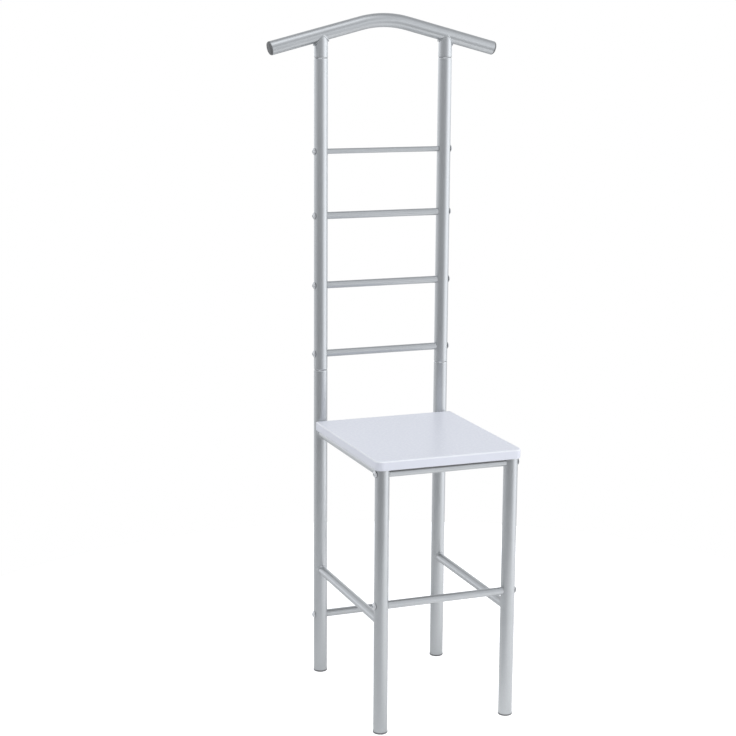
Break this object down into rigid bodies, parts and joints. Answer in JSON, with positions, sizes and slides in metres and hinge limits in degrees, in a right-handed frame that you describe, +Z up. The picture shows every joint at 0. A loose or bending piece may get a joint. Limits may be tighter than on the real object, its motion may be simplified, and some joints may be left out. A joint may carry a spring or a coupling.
{
  "type": "clothes valet chair",
  "caption": "Silver tubular clothes valet: a small white seat on a stretchered frame, with a tall ladder back that carries a coat hanger.",
  "frame": {"origin": "on the floor, under the middle of the chair's own box", "axes": "+Z up; the chair faces -Y; +X is on the right hand of somebody who looks at its front"},
  "size_m": [0.44, 0.3434, 1.2295],
  "materials": {
    "silver_tube": "satin silver metallic powder coat",
    "white_board": "satin white film on fibreboard",
    "zinc_fastener": "bright zinc plating",
    "grey_plastic": "fine matt moulded polyethylene"
  },
  "bodies": {
    "root": {"front_left_leg": "silver_tube", "front_right_leg": "silver_tube", "rear_left_leg": "silver_tube", "rear_right_leg": "silver_tube", "left_seat_rail": "silver_tube", "right_seat_rail": "silver_tube", "left_stretcher": "silver_tube", "right_stretcher": "silver_tube", "front_seat_rail": "silver_tube", "front_stretcher": "silver_tube", "rear_stretcher": "silver_tube", "seat_board": "white_board", "seat_screws": "zinc_fastener", "left_back_post": "silver_tube", "right_back_post": "silver_tube", "lower_rung": "silver_tube", "middle_rung": "silver_tube", "upper_rung": "silver_tube", "top_bar": "silver_tube", "hanger_tube": "silver_tube", "left_hanger_stub": "silver_tube", "right_hanger_stub": "silver_tube", "left_hanger_cap": "grey_plastic", "right_hanger_cap": "grey_plastic", "front_left_glide": "grey_plastic", "front_right_glide": "grey_plastic", "rear_left_glide": "grey_plastic", "rear_right_glide": "grey_plastic", "front_rail_bolts": "zinc_fastener", "front_stretcher_bolts": "zinc_fastener", "rear_stretcher_bolts": "zinc_fastener", "lower_rung_bolts": "zinc_fastener", "middle_rung_bolts": "zinc_fastener", "upper_rung_bolts": "zinc_fastener", "top_bar_bolts": "zinc_fastener", "front_rail_inserts": "zinc_fastener", "front_stretcher_inserts": "zinc_fastener", "rear_stretcher_inserts": "zinc_fastener", "rung_inserts": "zinc_fastener"}
  },
  "joints": []
}
